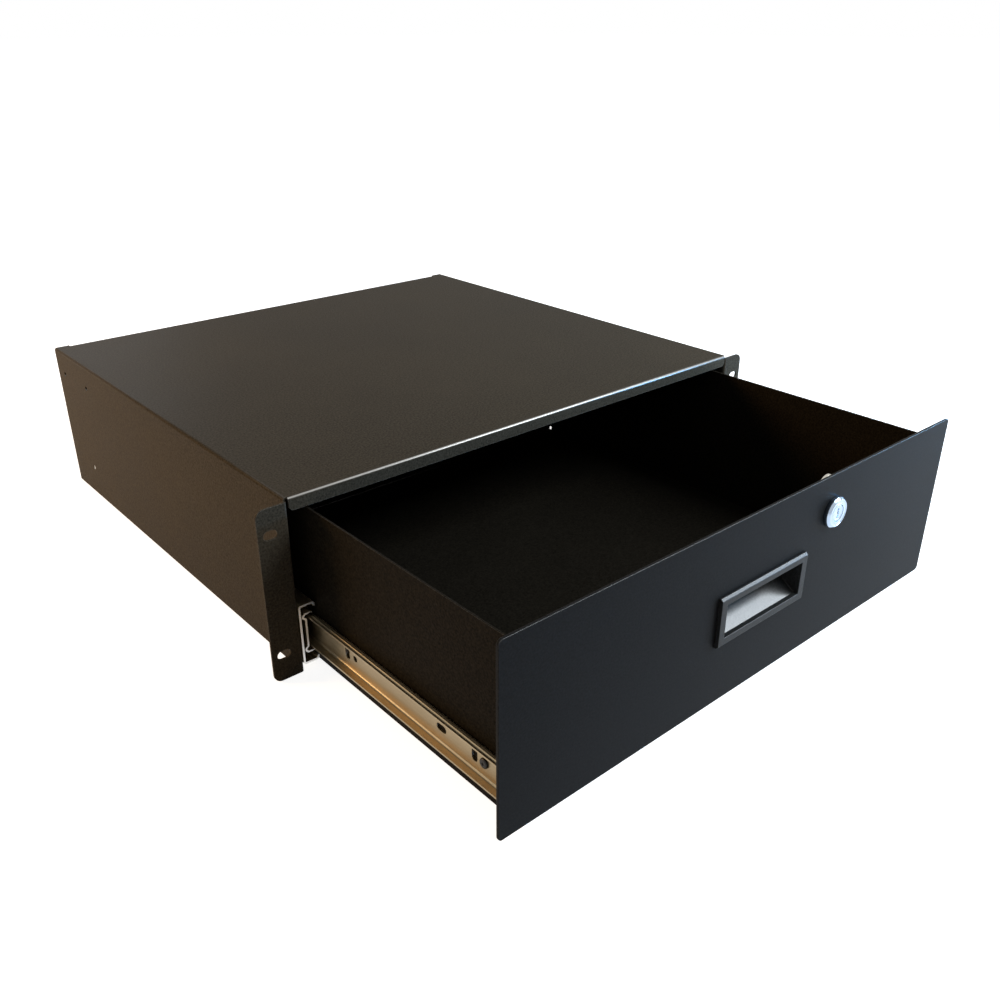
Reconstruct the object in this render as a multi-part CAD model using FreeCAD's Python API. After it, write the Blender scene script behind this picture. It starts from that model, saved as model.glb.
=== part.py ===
import FreeCAD, Part
import math
import os

# Sliding drawer for a 19 inch rack, three units high, on a pair of ball-bearing slides.
# Frame: X to the right seen from the front, Y to the back, Z up.  The origin is the middle of the
# four rack slots, on the back face of the ears.  The drawer is modelled part of the way out.
# Millimetres throughout.

V = FreeCAD.Vector

# ---- rack interface -------------------------------------------------------------------------
ear_span = 482.6            # over both ears
ear_h = 127.0
ear_corner_r = 6.0
ear_w = 20.8
slot_from_end = 8.75        # slot centre to the end of the ear
slot_pitch_z = 88.9         # between the slot centres, top to bottom
slot_l = 9.7
slot_w = 6.4
slots_up = 0.6              # middle of the slots above the middle of the ear

# ---- case: one folded sheet -----------------------------------------------------------------
case_t = 1.5
bend_r = 0.7                # inside radius of every bend
case_h = 129.5
case_d = 411.0              # ear front to the rear edge of the sides
lip_h = 9.3                 # front edge of the top, folded down
lip_end_gap = 1.2
lip_corner_r = 3.5
rear_tab_w = 13.0           # flat corners of the top beside the rear wall
rear_setback = 1.4          # rear wall ahead of the corner tabs
rear_corner_r = 3.0
bracket_hole_r = 2.1        # plain holes for a rear support bracket
bracket_hole_down = 20.5    # below the top
bracket_hole_first = 343.0  # behind the ear front
bracket_hole_pitch = 51.0

# ---- how far the drawer stands out, and its clearances ----------------------------------------
open_at_rest = 200.0
panel_gap = 0.5             # front panel to the ears, shut
drawer_lift = 1.0           # drawer floor above the lower edge of the case

# ---- drawer: folded tray and front panel -----------------------------------------------------
tray_t = 1.2
tray_under_lip = 1.7        # top edge of the tray below the front lip
tray_to_rear = 3.6          # rear wall of the tray to that of the case, shut
tray_tab = 12.0             # front flanges that carry the panel
tray_relief_r = 2.0         # relief holes at the rear corners of the floor
tray_seam = 0.6             # open seam between the side and rear walls
panel_t = 2.0
panel_past = 0.75           # sides of the panel outside those of the case
panel_lift = 0.8            # lower edge of the panel above that of the case
panel_over = 0.1            # upper edge of the panel above that of the case
panel_corner_r = 3.0

# ---- slides: three members, two ball cages a side --------------------------------------------
slide_w = 14.0              # case wall to drawer wall
slide_up = 27.8             # centre of the slides above the lower edge of the case
slide_l = 400.0
outer_h = 46.0
outer_depth = 12.2
outer_t = 1.5
outer_lip = 3.5
mid_h = 31.2
mid_l = 296.0
mid_t = 1.4
mid_foot = 2.6              # nearest face of the member to the case wall
mid_boss = 2.0              # middle of its web pressed this much further in, over the screw heads
mid_boss_h = 20.4
mid_curl = 0.6              # edges of its flanges curl in by this much
mid_curl_w = 2.4
mid_depth = 7.9             # foot to the edge of the flanges
mid_setback = 1.0
inner_h = 23.6
inner_t = 1.2
inner_bend_r = 1.5          # inside radius of its bends
inner_depth = 6.7
inner_setback = 0.3         # behind the panel

cage_t = 0.5
cage_play = 0.3             # cage to the members beside it
cage_rim = 0.5              # sheet left outside the ball pockets
outer_cage_l = 150.0
outer_cage_y = 90.0
outer_ball_r = 2.8
outer_ball_n = 6
inner_cage_l = 88.0
inner_cage_y = 56.0
inner_cage_past = 0.4       # its flanges stand out past those of the middle member
inner_ball_r = 1.4
inner_ball_n = 4
ball_play = 0.3             # ball to its pocket and to the races

# ---- screws and nuts ---------------------------------------------------------------------------
screw_r = 2.0
screw_hole_r = 2.2
screw_head_r = 3.3
screw_head_h = 1.6
cross_l = 3.4               # cross recess in the head
cross_w = 0.8
cross_deep = 0.9
case_screw_from_end = 37.0
drawer_screw_from_end = 26.6
drawer_hole_far = 155.1     # second fixing hole from the end of the member
slot_beside = 8.8           # upright slot beyond each fixing hole
slot_between = 65.4         # level slot from the end of the member
stud_l = 8.0
nut_af = 7.0
nut_h = 3.2

# ---- recessed pull handle ------------------------------------------------------------------------
handle_w = 90.0
handle_h = 36.0
handle_raise = 3.0
handle_up = 63.5            # middle of the handle above the lower edge of the case
handle_bevel = 1.6          # along the long outer edges
grip_w = 79.0               # opening
grip_low = -11.6            # edges of the opening from the middle of the handle
grip_high = 12.4
grip_depth = 22.0
grip_slope = 34.7           # degrees, floor of the recess
grip_ledge = 3.4            # level part of the floor, at the front
grip_rise = 2.0             # finger space above the opening
cup_t = 1.5
handle_fit = 0.3
snap_h = 1.3
snap_l = 8.0
snap_w = 10.0

# ---- cam lock ------------------------------------------------------------------------------------
lock_x = 72.3
cam_clear = 2.2             # tip of the arm to the underside of the case's top
lock_head_r = 11.0
lock_face_r = 9.6
lock_head_h = 4.6
lock_rim_h = 3.0
lock_body_r = 8.0
lock_flats = 14.0
lock_hole_fit = 0.15
lock_nut_af = 22.0
lock_nut_h = 4.0
plug_r = 5.7
plug_fit = 0.3
plug_recess = 0.3
key_w = 1.8
key_h = 7.0
key_depth = 5.0
tail_w = 7.0
tail_fit = 0.1
cam_gap = 0.3
cam_t = 2.2
cam_w = 17.0
cam_reach = 24.0            # plug centre to tip
cam_screw_r = 2.0
cam_screw_l = 5.0
cam_screw_head_r = 4.5
cam_screw_head_h = 2.4

# ---- places that follow from the sizes -----------------------------------------------------------
slot_pitch_x = ear_span - 2 * slot_from_end
case_w = ear_span - 2 * ear_w
ear_front = -case_t
case_low = -ear_h / 2 - slots_up
case_top = case_low + case_h
slide_z = case_low + slide_up
handle_z = case_low + handle_up
lock_z = case_top - case_t - cam_clear - cam_reach
case_in = case_w / 2 - case_t
case_rear = ear_front + case_d
rear_wall = case_rear - rear_setback
rear_half = case_w / 2 - rear_tab_w
panel_back = ear_front - panel_gap - open_at_rest
panel_front = panel_back - panel_t
panel_low = case_low + panel_lift
panel_top = case_top + panel_over
panel_w = case_w + 2 * panel_past
tray_half = case_in - slide_w
tray_low = case_low + drawer_lift
tray_top = case_top - lip_h - tray_under_lip
tray_h = tray_top - tray_low
tray_rear = rear_wall - case_t - tray_to_rear - open_at_rest
outer_front = ear_front
mid_front = outer_front + mid_setback
inner_front = panel_back + inner_setback
bend_out = bend_r + case_t

os.makedirs("parts", exist_ok=True)


def save(name, *shapes):
    shape = shapes[0] if len(shapes) == 1 else Part.makeCompound(list(shapes))
    shape.exportStep("parts/" + name + ".step")


def save_pair(name, shape):
    """The left piece as drawn, and the right one as its mirror image."""
    save(name + "_left", shape)
    save(name + "_right", shape.mirror(V(0, 0, 0), V(1, 0, 0)))


def in_xy(a, b):
    return V(a, b, 0)


def in_xz(a, b):
    return V(a, 0, b)


def in_yz(a, b):
    return V(0, a, b)


def in_slide(a, b):
    """Section of the left slide: a from the case wall inwards, b up from the slide's centre."""
    return V(a - case_in, 0, slide_z + b)


def rounded_line(points, radii):
    """Edges of a flat polyline whose corners are turned into tangent arcs."""
    edges, start = [], points[0]
    for k in range(1, len(points) - 1):
        p, r = points[k], radii[k - 1]
        back, ahead = points[k - 1] - p, points[k + 1] - p
        back.normalize()
        ahead.normalize()
        half = back.getAngle(ahead) / 2
        reach = r / math.tan(half)
        middle = back + ahead
        middle.normalize()
        a, b = p + back * reach, p + ahead * reach
        edges.append(Part.makeLine(start, a))
        edges.append(Part.Arc(a, p + middle * (r / math.sin(half) - r), b).toShape())
        start = b
    edges.append(Part.makeLine(start, points[-1]))
    return edges


def bent_sheet(plane, points, t, side, r=None):
    """Section of a folded sheet.  points run along one face, the sheet is t thick on their left
    (side 1) or right (side -1), and r is the inside radius of its bends."""
    r = bend_r if r is None else r
    count = len(points)
    heading = []
    for (a0, b0), (a1, b1) in zip(points, points[1:]):
        long = math.hypot(a1 - a0, b1 - b0)
        heading.append(((a1 - a0) / long, (b1 - b0) / long))
    offset, near, far = [], [], []
    for k, (a, b) in enumerate(points):
        d0 = heading[max(k - 1, 0)]
        d1 = heading[min(k, count - 2)]
        n = (-d0[1] - d1[1], d0[0] + d1[0])
        scale = side * t / (1 + d0[0] * d1[0] + d0[1] * d1[1])
        offset.append((a + n[0] * scale, b + n[1] * scale))
        if 0 < k < count - 1:
            turn = side * (d0[0] * d1[1] - d0[1] * d1[0])
            near.append(r + t if turn > 0 else r)
            far.append(r if turn > 0 else r + t)
    face_a = rounded_line([plane(*p) for p in points], near)
    face_b = rounded_line([plane(*p) for p in offset], far)
    caps = [Part.makeLine(plane(*points[0]), plane(*offset[0])),
            Part.makeLine(plane(*points[-1]), plane(*offset[-1]))]
    return Part.Face(Part.Wire(Part.__sortEdges__(face_a + face_b + caps)))


def box(x0, x1, y0, y1, z0, z1):
    return Part.makeBox(x1 - x0, y1 - y0, z1 - z0, V(x0, y0, z0))


def rod_x(r, x0, x1, y, z):
    return Part.makeCylinder(r, x1 - x0, V(x0, y, z), V(1, 0, 0))


def rod_y(r, y0, y1, x, z):
    return Part.makeCylinder(r, y1 - y0, V(x, y0, z), V(0, 1, 0))


def obround_x(x0, x1, y, z, along_y, along_z):
    """Cutter for a round hole or a slot with round ends, through an upright sheet."""
    r = min(along_y, along_z) / 2
    if along_y == along_z:
        return rod_x(r, x0, x1, y, z)
    ends = [(y - along_y / 2 + r, z - along_z / 2 + r), (y + along_y / 2 - r, z + along_z / 2 - r)]
    shape = rod_x(r, x0, x1, *ends[0]).fuse(rod_x(r, x0, x1, *ends[1]))
    if along_y > along_z:
        return shape.fuse(box(x0, x1, ends[0][0], ends[1][0], z - r, z + r))
    return shape.fuse(box(x0, x1, y - r, y + r, ends[0][1], ends[1][1]))


def round_edges(shape, r, wanted):
    """Fillet the edges whose middle point passes the test."""
    edges = [e for e in shape.Edges if wanted(e.valueAt((e.FirstParameter + e.LastParameter) / 2), e)]
    return shape.makeFillet(r, edges)


def upright(e, axis):
    """True where a straight edge runs along one axis."""
    if e.Curve.TypeId != "Part::GeomLine":
        return False
    d = e.tangentAt(e.FirstParameter)
    return abs(abs((d.x, d.y, d.z)[axis]) - 1) < 1e-6


def hexagon_nut(af, h, hole_r, x, y, z):
    """Nut on a stud along Y, with its front face at y."""
    r = af / math.sqrt(3)
    corners = [V(x + r * math.cos(math.radians(60 * k)), y, z + r * math.sin(math.radians(60 * k)))
               for k in range(7)]
    body = Part.Face(Part.makePolygon(corners)).extrude(V(0, h, 0))
    crown = rod_y(r, y, y + h, x, z)
    rims = [e for e in crown.Edges if e.Curve.TypeId == "Part::GeomCircle"]
    return body.common(crown.makeChamfer(min(r - af / 2, h / 4), rims)).cut(rod_y(hole_r, y - 1, y + h + 1, x, z))


def fused(first, *others):
    shape = first
    for other in others:
        shape = shape.fuse(other)
    return shape.removeSplitter()


# ---- case shell ------------------------------------------------------------------------------------
def case_shell():
    half = case_w / 2
    begin = ear_front + bend_out
    wrap = bent_sheet(in_xz, [(-half, case_low), (-half, case_top), (half, case_top), (half, case_low)],
                      case_t, -1)
    wrap.translate(V(0, begin, 0))
    shell = wrap.extrude(V(0, case_rear - begin, 0))

    ear = bent_sheet(in_xy, [(-half, begin + 1), (-half, 0), (-ear_span / 2, 0)], case_t, 1)
    ear.translate(V(0, 0, case_low))
    ear = ear.extrude(V(0, 0, ear_h))
    ear = round_edges(ear, ear_corner_r, lambda p, e: p.x < -ear_span / 2 + 0.01
                      and upright(e, 1) and abs(abs(p.z + slots_up) - ear_h / 2) < 0.01)
    for level in (-slot_pitch_z / 2, slot_pitch_z / 2):
        reach = (slot_l - slot_w) / 2
        x = -slot_pitch_x / 2
        slot = box(x - reach, x + reach, -2 * case_t, case_t, level - slot_w / 2, level + slot_w / 2)
        for end in (x - reach, x + reach):
            slot = slot.fuse(rod_y(slot_w / 2, -2 * case_t, case_t, end, level))
        ear = ear.cut(slot)

    lip = bent_sheet(in_yz, [(begin + 1, case_top), (ear_front, case_top), (ear_front, case_top - lip_h)],
                     case_t, 1)
    lip_half = case_in - lip_end_gap
    lip.translate(V(-lip_half, 0, 0))
    lip = lip.extrude(V(2 * lip_half, 0, 0))
    lip = round_edges(lip, lip_corner_r, lambda p, e: abs(p.z - case_top + lip_h) < 0.01
                      and upright(e, 1) and abs(abs(p.x) - lip_half) < 0.01)

    shell = shell.cut(box(-rear_half, rear_half, rear_wall - bend_out, case_rear + 1, case_low, case_top + 1))
    rear = bent_sheet(in_yz, [(rear_wall - bend_out - 1, case_top), (rear_wall, case_top),
                              (rear_wall, case_low)], case_t, -1)
    rear.translate(V(-rear_half, 0, 0))
    rear = rear.extrude(V(2 * rear_half, 0, 0))
    rear = round_edges(rear, rear_corner_r, lambda p, e: abs(p.z - case_low) < 0.01
                       and upright(e, 1) and abs(abs(p.x) - rear_half) < 0.01)

    shell = fused(shell, ear, ear.mirror(V(0, 0, 0), V(1, 0, 0)), lip, rear)
    for end in (case_screw_from_end, slide_l - case_screw_from_end):
        shell = shell.cut(rod_x(screw_hole_r, -half - 1, half + 1, outer_front + end, slide_z))
    for step in (0, bracket_hole_pitch):
        y = ear_front + bracket_hole_first + step
        shell = shell.cut(rod_x(bracket_hole_r, -half - 1, half + 1, y, case_top - bracket_hole_down))
    return shell


save("case_shell", case_shell())


# ---- slides, drawn for the left side -----------------------------------------------------------------
def along_y(face, y, length):
    face.translate(V(0, y, 0))
    return face.extrude(V(0, length, 0))


def slide_cut(shape, y, along, across, near, far):
    """Hole through the web of a left slide member; near and far are distances from the case wall."""
    return shape.cut(obround_x(near - case_in, far - case_in, y, slide_z, along, across))


# where the balls run: distance from the case wall, height above the slide's centre, ball radius
outer_cage_edge = outer_depth - outer_t - cage_play
inner_cage_edge = mid_foot + mid_depth + inner_cage_past
outer_race = (outer_cage_edge - cage_rim - ball_play - outer_ball_r,
              (outer_h / 2 - outer_t + mid_h / 2) / 2, outer_ball_r)
inner_race = (inner_cage_edge - cage_rim - ball_play - inner_ball_r,
              (mid_h / 2 - mid_t + inner_h / 2) / 2, inner_ball_r)


def cut_races(shape, race, y, length):
    """Grooves that the balls run in, along both flanges."""
    across, level, r = race
    for b in (level, -level):
        shape = shape.cut(rod_y(r + ball_play, y - 1, y + length + 1, across - case_in, slide_z + b))
    return shape


def outer_rail():
    h = outer_h / 2
    shape = along_y(bent_sheet(in_slide, [(outer_depth, h - outer_lip), (outer_depth, h), (0, h), (0, -h),
                                          (outer_depth, -h), (outer_depth, -h + outer_lip)], outer_t, 1),
                    outer_front, slide_l)
    end = outer_front + slide_l
    stop = box(-case_in + outer_t / 2, -case_in + mid_foot + mid_boss, end - outer_t, end,
               slide_z - mid_boss_h / 4, slide_z + mid_boss_h / 4)
    shape = cut_races(fused(shape, stop), outer_race, outer_front, slide_l)
    for y in (outer_front + case_screw_from_end, end - case_screw_from_end):
        shape = slide_cut(shape, y, 2 * screw_hole_r, 2 * screw_hole_r, -1, outer_t + 1)
    for y in (outer_front + 1.7 * case_screw_from_end, end - 1.7 * case_screw_from_end):
        shape = slide_cut(shape, y, 4.5 * screw_r, 2 * screw_hole_r, -1, outer_t + 1)
    return shape


def mid_rail():
    h = mid_h / 2
    foot, boss = mid_foot, mid_foot + mid_boss
    edge = mid_foot + mid_depth
    top = mid_boss_h / 2 + mid_boss * 0.7
    half = [(edge, h - mid_curl), (edge - mid_curl_w, h), (boss, h), (foot, h - mid_boss), (foot, top),
            (boss, mid_boss_h / 2)]
    shape = along_y(bent_sheet(in_slide, half + [(a, -b) for a, b in reversed(half)], mid_t, 1, bend_r / 2),
                    mid_front, mid_l)
    shape = cut_races(cut_races(shape, outer_race, mid_front, mid_l), inner_race, mid_front, mid_l)
    for y in (mid_front + case_screw_from_end - mid_setback,
              mid_front + mid_l - case_screw_from_end + 4):
        shape = slide_cut(shape, y, 2.4 * screw_head_r, 2.4 * screw_head_r, foot, edge)
    return shape


def inner_rail():
    h = inner_h / 2
    edge = slide_w - inner_depth
    shape = along_y(bent_sheet(in_slide, [(edge, h), (slide_w, h), (slide_w, -h), (edge, -h)],
                               inner_t, -1, inner_bend_r), inner_front, slide_l)
    shape = cut_races(shape, inner_race, inner_front, slide_l)
    near, far = edge + 1, slide_w + 1
    tall, wide = 4.5 * screw_r, 2.5 * screw_r
    for end, step in ((inner_front, 1), (inner_front + slide_l, -1)):
        for start in (drawer_screw_from_end, drawer_hole_far):
            shape = slide_cut(shape, end + step * start, 2 * screw_hole_r, 2 * screw_hole_r, near, far)
            shape = slide_cut(shape, end + step * (start + slot_beside), wide, tall, near, far)
        shape = slide_cut(shape, end + step * slot_between, tall, wide, near, far)
    return shape


save_pair("outer_rail", outer_rail())
save_pair("mid_rail", mid_rail())
save_pair("drawer_rail", inner_rail())


def ball_cage(web, edge, race, y, length, count):
    """Folded strip between two members, with the balls that it spaces.  web is its distance from
    the case wall, edge the free edge of its flanges."""
    across, level, ball_r = race
    half = [(edge, level + cage_t / 2), (web, level + cage_t / 2)]
    strip = along_y(bent_sheet(in_slide, half + [(a, -b) for a, b in reversed(half)], cage_t, 1, cage_t),
                    y, length)
    balls = []
    for k in range(count):
        at = y + length * (k + 0.5) / count
        for b in (level, -level):
            centre = in_slide(across, b) + V(0, at, 0)
            strip = strip.cut(Part.makeCylinder(ball_r + ball_play, 4 * cage_t, centre - V(0, 0, 2 * cage_t)))
            balls.append(Part.makeSphere(ball_r, centre))
    return strip, Part.makeCompound(balls)


cage, balls = ball_cage(outer_t + cage_play, outer_cage_edge, outer_race,
                        outer_cage_y, outer_cage_l, outer_ball_n)
save_pair("outer_cage", cage)
save_pair("outer_balls", balls)

cage, balls = ball_cage(mid_foot + mid_boss + mid_t + cage_play, inner_cage_edge, inner_race,
                        inner_cage_y, inner_cage_l, inner_ball_n)
save_pair("inner_cage", cage)
save_pair("inner_balls", balls)


def pan_screw(seat, tip, y):
    """Pan-head screw along X in the left slide: head inside seat, shank out to tip."""
    step = 1 if seat > tip else -1
    head = rod_x(screw_head_r, 0, screw_head_h, y, slide_z)
    top = [e for e in head.Edges if e.Curve.TypeId == "Part::GeomCircle" and e.CenterOfMass.x > 0.1]
    head = head.makeFillet(0.4 * screw_head_h, top)
    shank = rod_x(screw_r, -abs(seat - tip), 0.2, y, slide_z)
    shape = fused(head, shank)
    for along, across in ((cross_l, cross_w), (cross_w, cross_l)):
        arm = Part.makeBox(cross_deep + 1, along, across,
                           V(screw_head_h - cross_deep, y - along / 2, slide_z - across / 2))
        shape = shape.cut(arm)
    if step < 0:
        shape = shape.mirror(V(0, 0, 0), V(1, 0, 0))
    shape.translate(V(seat - case_in, 0, 0))
    return shape


case_screws = [pan_screw(outer_t, -0.8 * case_t, y)
               for y in (outer_front + case_screw_from_end, outer_front + slide_l - case_screw_from_end)]
save_pair("case_rail_screws", Part.makeCompound(case_screws))
drawer_screws = [pan_screw(slide_w - inner_t, slide_w + 1.5 * tray_t, y)
                 for y in (inner_front + drawer_screw_from_end, inner_front + slide_l - drawer_screw_from_end)]
save_pair("drawer_rail_screws", Part.makeCompound(drawer_screws))


# ---- drawer tray ---------------------------------------------------------------------------------------
out = bend_r + tray_t
stud_x = tray_half - tray_t - tray_tab / 2
stud_places = [(-stud_x, tray_low + 0.3 * tray_h), (-stud_x, tray_low + 0.8 * tray_h),
               (stud_x, tray_low + 0.3 * tray_h), (stud_x, tray_low + 0.8 * tray_h)]
stud_places += [(x, tray_low + tray_t + tray_tab / 2) for x in (-0.55 * tray_half, 0, 0.55 * tray_half)]


def drawer_tray():
    section = bent_sheet(in_xz, [(-tray_half, tray_top), (-tray_half, tray_low), (tray_half, tray_low),
                                 (tray_half, tray_top)], tray_t, 1)
    begin, stop = panel_back + out, tray_rear - out
    section.translate(V(0, begin, 0))
    tray = section.extrude(V(0, stop - begin, 0))

    rear = bent_sheet(in_yz, [(stop - 1, tray_low), (tray_rear, tray_low), (tray_rear, tray_top)], tray_t, 1)
    rear_reach = tray_half - tray_t - tray_seam
    rear.translate(V(-rear_reach, 0, 0))
    rear = rear.extrude(V(2 * rear_reach, 0, 0))

    side = box(-tray_half, -tray_half + tray_t, stop - 1, tray_rear, tray_low + out, tray_top)
    flange = bent_sheet(in_yz, [(begin + 1, tray_low), (panel_back, tray_low),
                                (panel_back, tray_low + tray_t + tray_tab)], tray_t, -1)
    flange_reach = tray_half - tray_tab - 2 * tray_t
    flange.translate(V(-flange_reach, 0, 0))
    flange = flange.extrude(V(2 * flange_reach, 0, 0))
    tab = bent_sheet(in_xy, [(-tray_half, begin + 1), (-tray_half, panel_back),
                             (-tray_half + tray_t + tray_tab, panel_back)], tray_t, 1)
    tab.translate(V(0, 0, tray_low + 2 * out))
    tab = tab.extrude(V(0, 0, tray_h - 2 * out))
    tray = fused(tray, rear, flange, side, side.mirror(V(0, 0, 0), V(1, 0, 0)),
                 tab, tab.mirror(V(0, 0, 0), V(1, 0, 0)))

    for s in (-1, 1):
        corner = V(s * (tray_half - tray_t / 2), tray_rear - tray_t / 2, tray_low - 1)
        tray = tray.cut(Part.makeCylinder(tray_relief_r, 1 + 2 * tray_relief_r, corner))
    for y in (inner_front + drawer_screw_from_end, inner_front + slide_l - drawer_screw_from_end):
        tray = tray.cut(rod_x(screw_hole_r, -tray_half - 1, tray_half + 1, y, slide_z))
    for x, z in stud_places:
        tray = tray.cut(rod_y(screw_hole_r, panel_back - 1, panel_back + 3 * tray_t, x, z))
    return tray


save("drawer_tray", drawer_tray())


# ---- front panel, and the studs welded to its back ---------------------------------------------------------------------
cup_half = grip_w / 2 + cup_t
cup_low = handle_z + grip_low - cup_t
cup_high = handle_z + grip_high + grip_rise + cup_t


def front_panel():
    panel = box(-panel_w / 2, panel_w / 2, panel_front, panel_back, panel_low, panel_top)
    panel = round_edges(panel, panel_corner_r, lambda p, e: upright(e, 1))
    panel = panel.cut(box(-cup_half - handle_fit, cup_half + handle_fit, panel_front - 1, panel_back + 1,
                          cup_low - handle_fit, cup_high + handle_fit))
    hole = rod_y(lock_body_r + lock_hole_fit, panel_front - 1, panel_back + 1, lock_x, lock_z)
    flat = lock_flats / 2 + lock_hole_fit
    panel = panel.cut(hole.common(box(lock_x - flat, lock_x + flat, panel_front - 2, panel_back + 2,
                                      lock_z - lock_head_r, lock_z + lock_head_r)))
    return panel


save("front_panel", front_panel())
save("panel_studs", *[rod_y(screw_r, panel_back, panel_back + stud_l, x, z) for x, z in stud_places])
save("panel_nuts", *[hexagon_nut(nut_af, nut_h, screw_r + 0.1, x, panel_back + tray_t, z)
                     for x, z in stud_places])


# ---- recessed pull handle --------------------------------------------------------------------------------------
def pull_handle():
    front = panel_front - handle_raise
    frame = box(-handle_w / 2, handle_w / 2, front, panel_front, handle_z - handle_h / 2, handle_z + handle_h / 2)
    frame = frame.makeChamfer(handle_bevel, [e for e in frame.Edges if abs(e.CenterOfMass.y - front) < 0.01
                                             and upright(e, 0)])

    rear = front + grip_depth
    rise = (grip_depth - grip_ledge) * math.tan(math.radians(grip_slope))
    low, high = handle_z + grip_low, handle_z + grip_high
    inside = [(front - 1, low), (front + grip_ledge, low), (rear, low + rise), (rear, high + grip_rise),
              (panel_front, high + grip_rise), (panel_front, high), (front - 1, high)]
    hollow = Part.Face(Part.makePolygon([V(-grip_w / 2, a, b) for a, b in inside + inside[:1]]))
    hollow = hollow.extrude(V(grip_w, 0, 0))
    hollow = round_edges(hollow, 2.5, lambda p, e: upright(e, 0) and p.y > rear - 0.01)

    slope = math.radians(grip_slope)
    drop = cup_t / math.cos(slope) - cup_t * math.tan(slope)
    shell = [(panel_front - 0.5, cup_low), (front + grip_ledge + drop, cup_low),
             (rear + cup_t, cup_low + (grip_depth - grip_ledge + cup_t - drop) * math.tan(slope)),
             (rear + cup_t, cup_high), (panel_front - 0.5, cup_high)]
    cup = Part.Face(Part.makePolygon([V(-cup_half, a, b) for a, b in shell + shell[:1]]))
    cup = cup.extrude(V(2 * cup_half, 0, 0))

    snaps = []
    for s in (-1, 1):
        wedge = [(s * (cup_half - 0.5), panel_back), (s * (cup_half + snap_h), panel_back),
                 (s * (cup_half + snap_h), panel_back + 1), (s * cup_half, panel_back + snap_l),
                 (s * (cup_half - 0.5), panel_back + snap_l)]
        face = Part.Face(Part.makePolygon([V(a, b, handle_z - snap_w / 2) for a, b in wedge + wedge[:1]]))
        snaps.append(face.extrude(V(0, 0, snap_w)))
    return fused(frame, cup, *snaps).cut(hollow)


save("pull_handle", pull_handle())


# ---- cam lock ----------------------------------------------------------------------------------------------------
lock_face = panel_front - lock_head_h
lock_rear = panel_back + lock_nut_h
cam_front = lock_rear + cam_gap
cam_rear = cam_front + cam_t


def lock_housing():
    section = [(0, lock_face), (lock_face_r, lock_face), (lock_head_r, panel_front - lock_rim_h),
               (lock_head_r, panel_front), (0, panel_front)]
    head = Part.Face(Part.makePolygon([V(lock_x + a, b, lock_z) for a, b in section + section[:1]]))
    head = head.revolve(V(lock_x, 0, lock_z), V(0, 1, 0), 360)
    body = rod_y(lock_body_r, panel_front - 0.5, lock_rear, lock_x, lock_z)
    body = body.common(box(lock_x - lock_flats / 2, lock_x + lock_flats / 2, panel_front - 1, lock_rear + 1,
                           lock_z - lock_head_r, lock_z + lock_head_r))
    return fused(head, body).cut(rod_y(plug_r + plug_fit, lock_face - 1, lock_rear + 1, lock_x, lock_z))


def lock_plug():
    face = lock_face + plug_recess
    plug = rod_y(plug_r, face, cam_front, lock_x, lock_z)
    tail = box(lock_x - tail_w / 2, lock_x + tail_w / 2, lock_rear, cam_rear - 0.1,
               lock_z - tail_w / 2, lock_z + tail_w / 2)
    key = box(lock_x - key_w / 2, lock_x + key_w / 2, face - 1, face + key_depth,
              lock_z - key_h / 2, lock_z + key_h / 2)
    bore = rod_y(cam_screw_r + 0.1, cam_rear - cam_screw_l - 0.2, cam_rear + 1, lock_x, lock_z)
    return fused(plug, tail).cut(key).cut(bore)


def lock_cam():
    r = cam_w / 2
    arm = cam_reach - r
    cam = fused(rod_y(r, cam_front, cam_rear, lock_x, lock_z),
                rod_y(r, cam_front, cam_rear, lock_x, lock_z + arm),
                box(lock_x - r, lock_x + r, cam_front, cam_rear, lock_z, lock_z + arm))
    hole = tail_w / 2 + tail_fit
    return cam.cut(box(lock_x - hole, lock_x + hole, cam_front - 1, cam_rear + 1,
                       lock_z - hole, lock_z + hole))


def lock_cam_screw():
    head = rod_y(cam_screw_head_r, cam_rear, cam_rear + cam_screw_head_h, lock_x, lock_z)
    head = head.makeChamfer(0.6, [e for e in head.Edges if e.CenterOfMass.y > cam_rear + 1.5])
    return fused(head, rod_y(cam_screw_r, cam_rear - cam_screw_l, cam_rear + 0.5, lock_x, lock_z))


save("lock_housing", lock_housing())
save("lock_nut", hexagon_nut(lock_nut_af, lock_nut_h, lock_body_r + 0.1, lock_x, panel_back, lock_z))
save("lock_plug", lock_plug())
save("lock_cam", lock_cam())
save("lock_cam_screw", lock_cam_screw())
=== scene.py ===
import math

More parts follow.
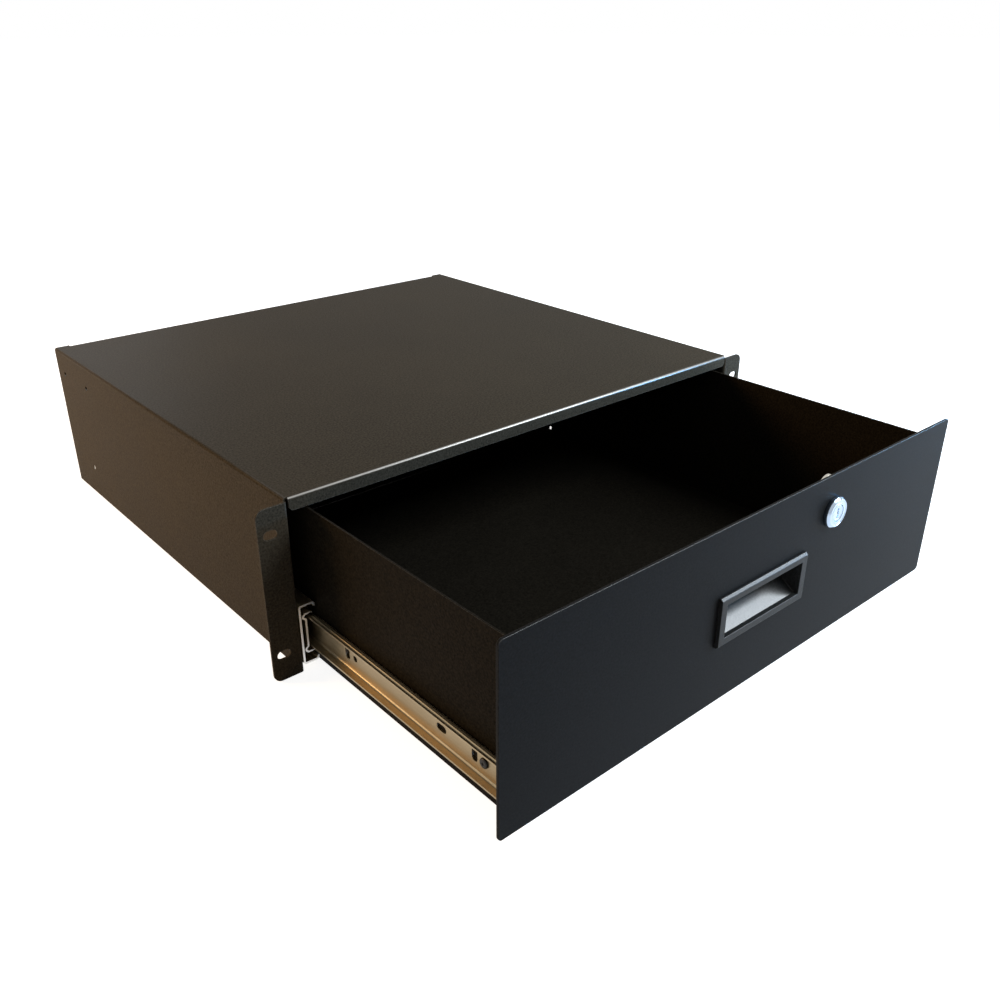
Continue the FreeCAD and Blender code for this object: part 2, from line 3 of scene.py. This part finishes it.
import bmesh
import bpy
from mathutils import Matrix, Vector


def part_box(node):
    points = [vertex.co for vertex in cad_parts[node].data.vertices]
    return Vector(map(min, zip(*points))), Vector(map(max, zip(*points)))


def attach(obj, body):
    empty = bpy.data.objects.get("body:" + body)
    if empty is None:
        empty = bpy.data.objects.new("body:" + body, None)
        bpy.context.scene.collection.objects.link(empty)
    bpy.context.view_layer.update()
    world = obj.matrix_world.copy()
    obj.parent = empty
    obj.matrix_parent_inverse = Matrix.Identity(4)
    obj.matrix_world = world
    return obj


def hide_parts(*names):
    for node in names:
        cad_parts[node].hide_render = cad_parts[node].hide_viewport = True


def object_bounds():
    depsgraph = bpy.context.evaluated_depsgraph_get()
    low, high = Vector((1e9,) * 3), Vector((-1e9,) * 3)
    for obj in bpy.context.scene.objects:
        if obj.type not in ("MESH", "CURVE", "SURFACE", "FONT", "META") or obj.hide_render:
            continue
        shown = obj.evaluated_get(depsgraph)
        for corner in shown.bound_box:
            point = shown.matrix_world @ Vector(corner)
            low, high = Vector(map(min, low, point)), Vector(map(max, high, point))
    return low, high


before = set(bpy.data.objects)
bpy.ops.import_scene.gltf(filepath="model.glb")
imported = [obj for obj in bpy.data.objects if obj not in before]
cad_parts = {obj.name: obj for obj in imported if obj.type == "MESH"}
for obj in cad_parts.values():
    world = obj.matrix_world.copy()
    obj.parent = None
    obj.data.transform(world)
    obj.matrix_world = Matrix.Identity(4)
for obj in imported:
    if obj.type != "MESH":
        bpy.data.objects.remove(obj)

cad_box = [list(corner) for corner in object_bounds()]
bpy.ops.object.select_all(action="DESELECT")


# ---- Studio ------------------------------------------------------------------------------------
# The drawer stands on a white floor in a dim room that looks white.  A broad cool lamp hangs before
# it, and a small blue one stands low on its right.  A warm one stands behind it on the left, and a
# weak one lights its rear.
class Wire:
    """An output of a shader node.  Arithmetic on it adds Math nodes."""

    def __init__(self, nodes, socket):
        self.nodes = nodes
        self.socket = socket

    def math(self, operation, *values):
        return self.nodes.add("Math", {"operation": operation}, dict(enumerate(values)))

    def __add__(self, other):
        return self.math("ADD", self, other)

    def __sub__(self, other):
        return self.math("SUBTRACT", self, other)

    def __rsub__(self, other):
        return self.math("SUBTRACT", other, self)

    def __mul__(self, other):
        return self.math("MULTIPLY", self, other)

    def __gt__(self, other):
        return self.math("GREATER_THAN", self, other)

    __radd__ = __add__
    __rmul__ = __mul__


class Nodes:
    """The shader nodes of a material or of the world."""

    def __init__(self, owner):
        owner.use_nodes = True
        self.tree = owner.node_tree

    def add(self, kind, settings=None, inputs=None, output=0):
        """Adds a node, sets it up, fills or wires its inputs, and returns one of its outputs."""
        node = self.tree.nodes.new("ShaderNode" + kind)
        for name, value in (settings or {}).items():
            setattr(node, name, value)
        for name, value in (inputs or {}).items():
            self.feed(node.inputs[name], value)
        return Wire(self, node.outputs[output])

    def feed(self, socket, value):
        """Wires a node's output to a socket, or writes a plain value on it."""
        if isinstance(value, Wire):
            self.tree.links.new(value.socket, socket)
        else:
            socket.default_value = value

    def clamp(self, value):
        """A value kept between 0 and 1."""
        return self.add("Clamp", None, {"Value": value})

    def seen(self):
        """1 where the floor or the room is seen, straight or in a reflection; 0 where it lights."""
        kinds = [self.add("LightPath", None, None, output) for output in
                 ("Is Camera Ray", "Is Glossy Ray", "Is Transmission Ray")]
        return self.clamp(kinds[0] + kinds[1] + kinds[2])


floor_size = 60
floor_gap = 0.0002
floor_z = cad_box[0][2] - floor_gap
bpy.ops.mesh.primitive_plane_add(size=floor_size, location=(0, 0, floor_z))
floor = bpy.context.object
floor.name = "studio_floor"

floor_paint = bpy.data.materials.new("studio_floor_paint")
floor_nodes = Nodes(floor_paint)
matt = floor_nodes.add("BsdfDiffuse", None, {"Color": (0.86, 0.86, 0.86, 1)})
glow = floor_nodes.add("Emission", None, {"Color": (1, 1, 1, 1), "Strength": 0.88})
lit = floor_nodes.add("AddShader", None, {0: matt, 1: glow})
surface = floor_nodes.add("MixShader", None, {0: floor_nodes.seen(), 1: matt, 2: lit})
floor_nodes.feed(floor_nodes.tree.nodes["Material Output"].inputs["Surface"], surface)
floor.data.materials.append(floor_paint)

room = bpy.data.worlds.new("studio_room")
bpy.context.scene.world = room
room_nodes = Nodes(room)
room_light = 0.15
backdrop = room_nodes.tree.nodes["Background"]
backdrop.inputs["Color"].default_value = (1, 1, 1, 1)
room_nodes.feed(backdrop.inputs["Strength"], room_light + (1 - room_light) * room_nodes.seen())


def soft_lamp(name, place, aim, width, height, watts, colour):
    """A level area lamp that points at a place on the object."""
    light = bpy.data.lights.new(name, "AREA")
    light.shape = "RECTANGLE"
    light.size = width
    light.size_y = height
    light.energy = watts
    light.color = colour
    lamp = bpy.data.objects.new(name, light)
    lamp.location = place
    lamp.rotation_euler = (Vector(aim) - Vector(place)).to_track_quat("-Z", "Y").to_euler()
    lamp.visible_camera = False
    bpy.context.scene.collection.objects.link(lamp)


soft_lamp("front_lamp", place=(0.75, -0.70, 0.73), aim=(0.75, -0.05, 0),
          width=1.0, height=0.32, watts=15, colour=(0.86, 0.94, 1.0))
soft_lamp("back_lamp", place=(-1.1, 0.8, 0.5), aim=(-0.22, 0.25, 0),
          width=0.4, height=0.4, watts=10, colour=(1.0, 0.60, 0.24))
soft_lamp("low_lamp", place=(1.2, -0.63, 0.15), aim=(0.1, -0.2, 0),
          width=0.3, height=0.3, watts=15, colour=(0.22, 0.56, 1.0))
soft_lamp("rear_lamp", place=(0.0, 1.5, 0.6), aim=(-0.15, 0.2, 0.06),
          width=0.6, height=0.4, watts=4, colour=(0.9, 0.95, 1.0))

lens = bpy.data.cameras.new("camera")
lens.lens = 35
lens.sensor_width = 36
camera = bpy.data.objects.new("camera", lens)
camera.location = (-0.47257, -0.49480, 0.32904)
camera.rotation_euler = (math.radians(63.847), 0, math.radians(-40.953))
bpy.context.scene.collection.objects.link(camera)
bpy.context.scene.camera = camera
bpy.context.scene.view_settings.view_transform = "Standard"


# ---- Case --------------------------------------------------------------------------------------
# One folded steel sheet: top, sides, slotted ears, front lip and rear wall.  It has a thin black
# powder coat with a fine texture, worn a little thinner along the cut edges.
def paint(material, *names):
    """Gives CAD nodes a material."""
    for name in names:
        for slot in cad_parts[name].material_slots:
            slot.material = material


def soften(width, *names):
    """Rounds the sharp edges of CAD nodes, which are left as they are underneath."""
    for name in names:
        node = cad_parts[name]
        weld = node.modifiers.new("weld", "WELD")
        weld.merge_threshold = 0.000005
        flat = node.modifiers.new("flat_faces", "DECIMATE")
        flat.decimate_type = "DISSOLVE"
        flat.angle_limit = math.radians(0.5)
        edge = node.modifiers.new("soft_edges", "BEVEL")
        edge.width = width
        edge.segments = 2
        edge.limit_method = "ANGLE"
        edge.angle_limit = math.radians(40)
        edge.use_clamp_overlap = True
        edge.harden_normals = True


def noise(nodes, place, scale, detail, roughness):
    """Smooth noise about one half, with about as many lumps a metre as its scale."""
    return nodes.add("TexNoise", None, {"Vector": place, "Scale": scale, "Detail": detail,
                                        "Roughness": roughness})


def blend_colours(nodes, share, first, second):
    """The first colour where share is 0, the second where it is 1."""
    return nodes.add("Mix", {"data_type": "RGBA"}, {0: share, 6: first, 7: second}, output=2)


def worn_edges(nodes, reach, gain):
    """1 on the sharp edges of a piece, fading out within the reach."""
    rounded = nodes.add("Bevel", {"samples": 4}, {"Radius": reach})
    plain = nodes.add("NewGeometry", output=1)
    agree = nodes.add("VectorMath", {"operation": "DOT_PRODUCT"}, {0: rounded, 1: plain}, output=1)
    return nodes.clamp(gain * (1 - agree))


def powder_coat(name, dark, light, wear_and_highlight_colour, rough, specular, grain, painted_bend_highlight=0.0, painted_sheen_tint=(1, 1, 1, 1)):
    """Fine-texture powder coat between two close colours, and a third on its worn edges.  Grain is
    the height of the texture.  Slopes between front and top are glossy.  Where the bend highlight
    is asked for, the middle of a bend also gets the third colour and is made metal: a painted
    highlight that looks like steel rubbed bare."""
    coat = bpy.data.materials.new(name)
    nodes = Nodes(coat)
    shader = nodes.tree.nodes["Principled BSDF"]
    place = nodes.add("TexCoord", output=3)
    fine = noise(nodes, place, 1100, 2, 0.6)
    orange_peel = noise(nodes, place, 330, 1, 0.5)
    cloud = noise(nodes, place, 9, 3, 0.5)
    fleck = noise(nodes, place, 720, 0, 0.5)
    tone = nodes.clamp(0.4 * cloud + 1.1 * fine + 0.9 * fleck - 0.7)
    colour = blend_colours(nodes, tone, dark, light)
    wear = worn_edges(nodes, reach=0.0007, gain=2.0) * nodes.clamp(2.2 * fine - 0.5)

    # The slope is 0 on a front or a top, and one half in the middle of a bend between them.
    facing = nodes.add("NewGeometry", output=1)
    forward = nodes.add("SeparateXYZ", None, {0: facing}, output=1)
    upward = nodes.add("SeparateXYZ", None, {0: facing}, output=2)
    slope = -1 * forward * upward
    # Where asked, the middle of a bend is painted the light third colour and made metal: a painted
    # highlight that looks like steel rubbed bare.
    bare = painted_bend_highlight * nodes.clamp(12 * slope - 4.4)
    share = nodes.clamp(0.7 * wear + bare)
    nodes.feed(shader.inputs["Base Color"], blend_colours(nodes, share, colour, wear_and_highlight_colour))
    nodes.feed(shader.inputs["Metallic"], bare)
    roughness = rough + 0.10 * (cloud - 0.5) + 0.18 * (fine - 0.5) - 0.1 * wear
    nodes.feed(shader.inputs["Roughness"], roughness)
    texture = fine + 0.6 * orange_peel
    bump = nodes.add("Bump", None, {"Strength": 0.6, "Distance": grain, "Height": texture})
    nodes.feed(shader.inputs["Normal"], bump)
    bend = nodes.clamp(5 * slope - 0.6)
    gloss = bend * (1.6 * fine + 0.2) + 0.15 * wear
    nodes.feed(shader.inputs["Coat Weight"], nodes.clamp(gloss))
    shader.inputs["Coat Roughness"].default_value = 0.26
    shader.inputs["Specular IOR Level"].default_value = specular
    # Specular Tint colours the coat's reflections; on the front panel it is blue, a painted blue
    # sheen.
    shader.inputs["Specular Tint"].default_value = painted_sheen_tint
    return coat


sheet_edge = 0.0003
# The case's front bend gets the painted highlight, a light metal strip that looks like steel rubbed
# bare.
case_coat = powder_coat("case_coat", dark=(0.026, 0.0222, 0.0165, 1),
                        light=(0.082, 0.070, 0.052, 1), wear_and_highlight_colour=(0.30, 0.29, 0.27, 1),
                        rough=0.42, specular=0.008, grain=0.00012, painted_bend_highlight=1.0)
paint(case_coat, "case_shell")
soften(sheet_edge, "case_shell")


# ---- Slides ------------------------------------------------------------------------------------
# Rolled steel members under yellowish zinc.  The rolling leaves fine streaks along them, and the
# sheared ends are bare.  Ball cages and their steel balls run between the members.
def zinc(name, dark, light, bare, rough):
    """Zinc plating drawn out along the length of the piece, with bare sheared ends."""
    plating = bpy.data.materials.new(name)
    nodes = Nodes(plating)
    shader = nodes.tree.nodes["Principled BSDF"]
    place = nodes.add("TexCoord", output=3)
    drawn = nodes.add("Mapping", None, {"Vector": place, "Scale": (1, 0.02, 1)})
    streak = noise(nodes, drawn, 900, 3, 0.6)
    cloud = noise(nodes, place, 45, 3, 0.6)
    grit = noise(nodes, place, 1500, 1, 0.5)
    tone = nodes.clamp(0.45 * streak + 0.35 * cloud + 0.5 * grit - 0.15)
    facing = nodes.add("SeparateXYZ", None, {0: nodes.add("NewGeometry", output=1)}, output=1)
    sheared = facing.math("ABSOLUTE", facing) > 0.97
    colour = blend_colours(nodes, tone, dark, light)
    nodes.feed(shader.inputs["Base Color"], blend_colours(nodes, sheared, colour, bare))
    nodes.feed(shader.inputs["Roughness"], rough + 0.16 * (streak - 0.5) + 0.2 * (grit - 0.5))
    texture = streak + 0.7 * grit
    bump = nodes.add("Bump", None, {"Strength": 0.4, "Distance": 0.00005, "Height": texture})
    nodes.feed(shader.inputs["Normal"], bump)
    shader.inputs["Metallic"].default_value = 1.0
    return plating


rolled_edge = 0.00015
bare_steel = (0.72, 0.71, 0.70, 1)
slide_zinc = zinc("slide_zinc", dark=(0.22, 0.17, 0.10, 1), light=(0.42, 0.345, 0.225, 1),
                  bare=bare_steel, rough=0.42)
cage_zinc = zinc("cage_zinc", dark=(0.36, 0.33, 0.28, 1), light=(0.55, 0.51, 0.44, 1),
                 bare=bare_steel, rough=0.42)
ball_steel = zinc("ball_steel", dark=(0.60, 0.60, 0.60, 1), light=(0.70, 0.70, 0.70, 1),
                  bare=bare_steel, rough=0.15)
for side in ("_left", "_right"):
    paint(slide_zinc, "outer_rail" + side, "mid_rail" + side, "drawer_rail" + side)
    paint(cage_zinc, "outer_cage" + side, "inner_cage" + side)
    paint(ball_steel, "outer_balls" + side, "inner_balls" + side)
    soften(rolled_edge, "outer_rail" + side, "mid_rail" + side, "drawer_rail" + side)


# ---- Slide screws ------------------------------------------------------------------------------
# M4 pan-head machine screws with a cross recess.  Zinc-plated ones hold the outer members to the
# case, and blackened ones hold the drawer members to the tray.
def choose(piece):
    """Selects a piece alone, and makes it the active one."""
    bpy.ops.object.select_all(action="DESELECT")
    piece.select_set(True)
    bpy.context.view_layer.objects.active = piece


def edit(piece):
    """Opens a piece for editing, with nothing selected."""
    choose(piece)
    bpy.ops.object.mode_set(mode="EDIT")
    bpy.ops.mesh.select_all(action="DESELECT")


def pick(piece, kind, test):
    """Selects, in edit mode, the faces whose middle and normal pass the test, or the edges whose
    middle and direction do."""
    mesh = bmesh.from_edit_mesh(piece.data)
    bpy.ops.mesh.select_all(action="DESELECT")
    if kind == "faces":
        for face in mesh.faces:
            if test(face.calc_center_median(), face.normal):
                face.select_set(True)
    else:
        for edge in mesh.edges:
            middle = (edge.verts[0].co + edge.verts[1].co) / 2
            if test(middle, (edge.verts[1].co - edge.verts[0].co).normalized()):
                edge.select_set(True)
    bmesh.update_edit_mesh(piece.data)


def extrude(distance, factor=1.0):
    """Draws the selected face out along Z, then scales it about the axis."""
    bpy.ops.mesh.extrude_region_move(TRANSFORM_OT_translate={"value": (0, 0, distance)})
    if factor != 1.0:
        bpy.ops.transform.resize(value=(factor, factor, 1))


def cut_away(piece, cutter):
    """Takes the cutter's shape out of the piece, and the cutter out of the scene."""
    difference = piece.modifiers.new("cut", "BOOLEAN")
    difference.object = cutter
    difference.solver = "EXACT"
    choose(piece)
    bpy.ops.object.modifier_apply(modifier="cut")
    bpy.data.objects.remove(cutter)


def finish_edges(piece, width):
    """Rounds the sharp edges a little and shades the rest smooth."""
    bpy.ops.object.mode_set(mode="OBJECT")
    choose(piece)
    edge = piece.modifiers.new("soft_edges", "BEVEL")
    edge.width = width
    edge.segments = 2
    edge.limit_method = "ANGLE"
    edge.angle_limit = math.radians(40)
    bpy.ops.object.modifier_apply(modifier="soft_edges")
    bpy.ops.object.shade_smooth_by_angle(angle=math.radians(35))


def copy_to(master, name, place, turn, body, node, material):
    """A copy of a finished piece, moved to its place on a body, for a CAD node that it replaces."""
    piece = bpy.data.objects.new(name, master.data.copy())
    bpy.context.scene.collection.objects.link(piece)
    piece.data.materials.clear()
    piece.data.materials.append(material)
    piece.rotation_euler = turn
    piece.location = place
    choose(piece)
    bpy.ops.object.transform_apply(location=True, rotation=True, scale=True)
    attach(piece, body)
    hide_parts(node)


def thread(radius, length, pitch=0.0007):
    """Turns the selected end face into a thread, away from +Z, with a chamfered tip."""
    root = (radius - pitch / 2) / radius
    turns = int(length / pitch - 0.1)
    for turn in range(turns):
        extrude(-pitch / 2, root)
        extrude(-pitch / 2, 1 / root)
    extrude(pitch * turns - length, root)


def pan_screw(head_r, head_h, shank_r, shank_l):
    """Pan-head screw along Z: its head stands on the origin and its shank hangs below."""
    bpy.ops.mesh.primitive_cylinder_add(vertices=32, radius=head_r, depth=head_h,
                                        location=(0, 0, head_h / 2))
    screw = bpy.context.object
    bpy.ops.object.transform_apply(location=True)
    edit(screw)
    pick(screw, "edges", lambda at, way: at.z > head_h * 0.99)
    bpy.ops.mesh.bevel(offset=head_h * 0.62, segments=6, affect="EDGES")
    pick(screw, "faces", lambda at, normal: normal.z < -0.9)
    bpy.ops.mesh.inset(thickness=head_r - shank_r)
    thread(shank_r, shank_l)
    bpy.ops.object.mode_set(mode="OBJECT")

    arm_l, arm_w, deep = head_r * 0.52, head_r * 0.11, head_h * 0.62
    for across, along in ((arm_l, arm_w), (arm_w, arm_l)):
        bpy.ops.mesh.primitive_cube_add(size=2, location=(0, 0, head_h),
                                        scale=(across, along, deep))
        slot = bpy.context.object
        bpy.ops.object.transform_apply(location=True, scale=True)
        edit(slot)
        pick(slot, "faces", lambda at, normal: normal.z < -0.9)
        bpy.ops.transform.resize(value=(0.5, 0.5, 1))
        bpy.ops.object.mode_set(mode="OBJECT")
        cut_away(screw, slot)
    finish_edges(screw, width=0.00006)
    return screw


def fastener(name, dark, light, rough):
    """Plated or blackened metal with a fine grain, lighter along its edges."""
    finish = bpy.data.materials.new(name)
    nodes = Nodes(finish)
    shader = nodes.tree.nodes["Principled BSDF"]
    place = nodes.add("TexCoord", output=3)
    grit = noise(nodes, place, 1300, 2, 0.6)
    cloud = noise(nodes, place, 160, 2, 0.6)
    wear = worn_edges(nodes, reach=0.0003, gain=2.0)
    tone = nodes.clamp(0.5 * cloud + 0.5 * grit + 0.6 * wear)
    nodes.feed(shader.inputs["Base Color"], blend_colours(nodes, tone, dark, light))
    nodes.feed(shader.inputs["Roughness"], rough + 0.15 * (grit - 0.5) + 0.1 * (cloud - 0.5))
    bump = nodes.add("Bump", None, {"Strength": 0.3, "Distance": 0.00003, "Height": grit})
    nodes.feed(shader.inputs["Normal"], bump)
    shader.inputs["Metallic"].default_value = 1.0
    return finish


fastener_zinc = fastener("fastener_zinc", dark=(0.40, 0.37, 0.31, 1), light=(0.66, 0.63, 0.57, 1),
                         rough=0.32)
black_oxide = fastener("black_oxide", dark=(0.008, 0.008, 0.007, 1), light=(0.045, 0.042, 0.04, 1),
                       rough=0.35)
screw_head_h = 0.0016
screw_r = 0.002
for owner, body, finish in (("case_rail", "case", fastener_zinc),
                            ("drawer_rail", "drawer", black_oxide)):
    low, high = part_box(owner + "_screws_left")
    head_r = (high.z - low.z) / 2
    screw = pan_screw(head_r, screw_head_h, screw_r, high.x - low.x - screw_head_h)
    for side, mirror in (("_left", 1), ("_right", -1)):
        heads_inward = mirror if owner == "case_rail" else -mirror
        seat = (high.x - screw_head_h) if owner == "case_rail" else (low.x + screw_head_h)
        for end, y in (("_front", low.y + head_r), ("_rear", high.y - head_r)):
            copy_to(screw, owner + "_screw" + side + end, (mirror * seat, y, (low.z + high.z) / 2),
                    (0, heads_inward * math.pi / 2, 0), body,
                    owner + "_screws" + side, finish)
    bpy.data.objects.remove(screw)


# ---- Drawer tray -------------------------------------------------------------------------------
# A second folded steel sheet, a little thinner: floor, sides, rear wall and front flanges.  It has
# a black powder coat painted darker than the case's, as painted shade for the dark inside of the
# drawer, and is screwed between the two drawer members of the slides.
tray_coat = powder_coat("tray_coat", dark=(0.005, 0.0043, 0.0032, 1),
                        light=(0.024, 0.0205, 0.0155, 1), wear_and_highlight_colour=(0.14, 0.13, 0.11, 1),
                        rough=0.42, specular=0.008, grain=0.0001)
paint(tray_coat, "drawer_tray")
soften(sheet_edge, "drawer_tray")


# ---- Front panel -------------------------------------------------------------------------------
# Flat sheet with rounded corners under a smoother, satin coat, and the studs and nuts that hold it
# to the flanges of the tray.
# Its reflections are tinted blue: a painted blue sheen on top of the cool lamps' own light.
panel_coat = powder_coat("panel_coat", dark=(0.0085, 0.0081, 0.0079, 1),
                         light=(0.016, 0.0155, 0.0155, 1), wear_and_highlight_colour=(0.13, 0.11, 0.09, 1),
                         rough=0.40, specular=0.028, grain=0.00003, painted_sheen_tint=(0.43, 0.70, 1.0, 1))
paint(panel_coat, "front_panel")
paint(fastener_zinc, "panel_nuts")
soften(sheet_edge, "front_panel")

stud_r = 0.002
weld_r = 0.00218
weld_h = 0.0003
low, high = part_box("panel_studs")
bpy.ops.mesh.primitive_cylinder_add(vertices=24, radius=weld_r, depth=weld_h,
                                    location=(0, 0, -weld_h / 2))
stud = bpy.context.object
bpy.ops.object.transform_apply(location=True)
edit(stud)
pick(stud, "faces", lambda at, normal: normal.z < -0.9)
bpy.ops.mesh.inset(thickness=weld_r - stud_r)
thread(stud_r, high.y - low.y - weld_h)
finish_edges(stud, width=0.00003)
tray_low, tray_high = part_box("drawer_tray")
stud_side = high.x - stud_r
stud_sill = low.z + stud_r
stud_lower = tray_low.z + 0.3 * (tray_high.z - tray_low.z)
stud_upper = high.z - stud_r
stud_spread = 0.55 * tray_high.x
stud_places = [(-stud_side, stud_lower), (-stud_side, stud_upper), (stud_side, stud_lower),
               (stud_side, stud_upper), (-stud_spread, stud_sill), (0, stud_sill),
               (stud_spread, stud_sill)]
for number, (x, z) in enumerate(stud_places):
    copy_to(stud, "panel_stud_%d" % (number + 1), (x, low.y, z), (math.pi / 2, 0, 0), "drawer",
            "panel_studs", fastener_zinc)
bpy.data.objects.remove(stud)


# ---- Pull handle -------------------------------------------------------------------------------
# One moulding of black plastic, a frame round a sloping recess, with a fine spark-eroded grain.
# Two wedges on the recess snap it into the panel.
moulded_edge = 0.0003
handle_plastic = powder_coat("handle_plastic", dark=(0.014, 0.014, 0.014, 1),
                             light=(0.034, 0.034, 0.034, 1), wear_and_highlight_colour=(0.06, 0.06, 0.06, 1),
                             rough=0.40, specular=0.10, grain=0.00014)
paint(handle_plastic, "pull_handle")
soften(moulded_edge, "pull_handle")


# ---- Cam lock ----------------------------------------------------------------------------------
# Die-cast housing under bright chrome, held in the panel by a nut behind it.  In it turns a plug,
# and a screw holds the pressed arm on the plug's square tail.
pressed_edge = 0.00015
# The chrome's colours are tinted blue: a painted reflection of the cool lamps.
lock_chrome = fastener("lock_chrome", dark=(0.34, 0.42, 0.53, 1), light=(0.43, 0.51, 0.61, 1),
                       rough=0.12)
paint(fastener_zinc, "lock_nut", "lock_cam")
soften(pressed_edge, "lock_cam")


def turned(radius, top, bottom, sides=72):
    """A round bar along Z between two heights, open for editing."""
    bpy.ops.mesh.primitive_cylinder_add(vertices=sides, radius=radius, depth=top - bottom,
                                        location=(0, 0, (top + bottom) / 2))
    bar = bpy.context.object
    bpy.ops.object.transform_apply(location=True)
    edit(bar)
    return bar


def block(low_corner, high_corner):
    """A rectangular cutter between two corners."""
    size = [b - a for a, b in zip(low_corner, high_corner)]
    middle = [(a + b) / 2 for a, b in zip(low_corner, high_corner)]
    bpy.ops.mesh.primitive_cube_add(size=1, location=middle, scale=size)
    cutter = bpy.context.object
    bpy.ops.object.transform_apply(location=True, scale=True)
    return cutter


def drill(piece, radius, top, bottom, sides=72):
    """Bores a round hole along Z between two heights."""
    bit = turned(radius, top, bottom, sides)
    bpy.ops.object.mode_set(mode="OBJECT")
    cut_away(piece, bit)


panel_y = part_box("front_panel")[0].y
lock_low, lock_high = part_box("lock_housing")
lock_at = (lock_low.x + lock_high.x) / 2, panel_y, (lock_low.z + lock_high.z) / 2
overcut = 0.001

# The head has a sloped rim, a narrow land, a shallow dish and a lip round the plug.  The threaded
# body has a flat on each side, which stops just under the head.
head_r, face_r, head_h, rim_h = 0.011, 0.0096, 0.0046, 0.003
land_w, step_w, dish_w, dish_deep, lip_rise = 0.0006, 0.00015, 0.0018, 0.0003, 0.0002
body_r, body_l, body_pitch, flat, under_head = 0.008, 0.006, 0.001, 0.007, 0.00005
bore_r = 0.006
barrel = turned(head_r, rim_h, 0)
pick(barrel, "faces", lambda at, normal: normal.z > 0.9)
extrude(head_h - rim_h, face_r / head_r)
bpy.ops.mesh.inset(thickness=land_w)
bpy.ops.mesh.inset(thickness=step_w, depth=-dish_deep)
bpy.ops.mesh.inset(thickness=dish_w)
bpy.ops.mesh.inset(thickness=step_w, depth=lip_rise)
pick(barrel, "faces", lambda at, normal: normal.z < -0.9)
bpy.ops.mesh.inset(thickness=head_r - body_r)
thread(body_r, body_l, body_pitch)
bpy.ops.object.mode_set(mode="OBJECT")
drill(barrel, bore_r, head_h + overcut, -body_l - overcut)
for side in (-1, 1):
    near, far = sorted((side * flat, side * 2 * body_r))
    cut_away(barrel, block((near, -body_r * 2, -body_l - overcut),
                           (far, body_r * 2, -under_head)))
finish_edges(barrel, width=0.00012)
copy_to(barrel, "lock_barrel", lock_at, (math.pi / 2, 0, 0), "drawer",
        "lock_housing", lock_chrome)
bpy.data.objects.remove(barrel)

# The plug has a warded keyway in its face, and a square tail with a tapped hole for the arm.
# A ward stands into the keyway from each side, between the middle two of its four heights.
plug_low, plug_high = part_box("lock_plug")
plug_r, face_round, face_land, face_step, face_deep = 0.0057, 0.0003, 0.0008, 0.0001, 0.00015
half_tail, tail_l, tap_r, tap_deep, half_blank = 0.0035, 0.0021, 0.0021, 0.0052, 0.01
half_key_w, half_key_h, key_deep, ward = 0.0009, 0.0035, 0.005, 0.0007
left_ward = (-0.0018, -0.0014, -0.0004, 0.0)
right_ward = (0.0008, 0.0012, 0.0020, 0.0024)
face_z = panel_y - plug_low.y
tail_z = panel_y - plug_high.y
shoulder_z = tail_z + tail_l
core = turned(plug_r, face_z, tail_z, 64)
pick(core, "edges", lambda at, way: at.z > face_z - 0.00001)
bpy.ops.mesh.bevel(offset=face_round, segments=3, affect="EDGES")
pick(core, "faces", lambda at, normal: normal.z > 0.99)
bpy.ops.mesh.inset(thickness=face_land)
bpy.ops.mesh.inset(thickness=face_step, depth=-face_deep)
bpy.ops.object.mode_set(mode="OBJECT")
around = block((-half_blank, -half_blank, tail_z - overcut), (half_blank, half_blank, shoulder_z))
cut_away(around, block((-half_tail, -half_tail, tail_z - 2 * overcut),
                       (half_tail, half_tail, shoulder_z + overcut)))
cut_away(core, around)
keyway = block((-half_key_w, -half_key_h, face_z - key_deep),
               (half_key_w, half_key_h, face_z + overcut))
edit(keyway)
for height in left_ward + right_ward:
    bpy.ops.mesh.select_all(action="SELECT")
    bpy.ops.mesh.bisect(plane_co=(0, height, 0), plane_no=(0, 1, 0))
pick(keyway, "faces", lambda at, normal: normal.x < -0.9 and left_ward[1] < at.y < left_ward[2])
bpy.ops.transform.translate(value=(ward, 0, 0))
pick(keyway, "faces", lambda at, normal: normal.x > 0.9 and right_ward[1] < at.y < right_ward[2])
bpy.ops.transform.translate(value=(-ward, 0, 0))
bpy.ops.object.mode_set(mode="OBJECT")
cut_away(core, keyway)
drill(core, tap_r, tail_z + tap_deep, tail_z - overcut, 32)
finish_edges(core, width=0.00008)
copy_to(core, "lock_core", lock_at, (math.pi / 2, 0, 0), "key_plug", "lock_plug",
        lock_chrome)
bpy.data.objects.remove(core)

# The arm's screw is driven in from behind, with its head on the arm.
screw_low, screw_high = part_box("lock_cam_screw")
arm_head_r, arm_head_h, arm_shank_r = 0.0045, 0.0024, 0.002
arm_screw = pan_screw(arm_head_r, arm_head_h, arm_shank_r,
                      screw_high.y - screw_low.y - arm_head_h)
copy_to(arm_screw, "lock_arm_screw", (lock_at[0], screw_high.y - arm_head_h, lock_at[2]),
        (-math.pi / 2, 0, 0), "key_plug", "lock_cam_screw", fastener_zinc)
bpy.data.objects.remove(arm_screw)
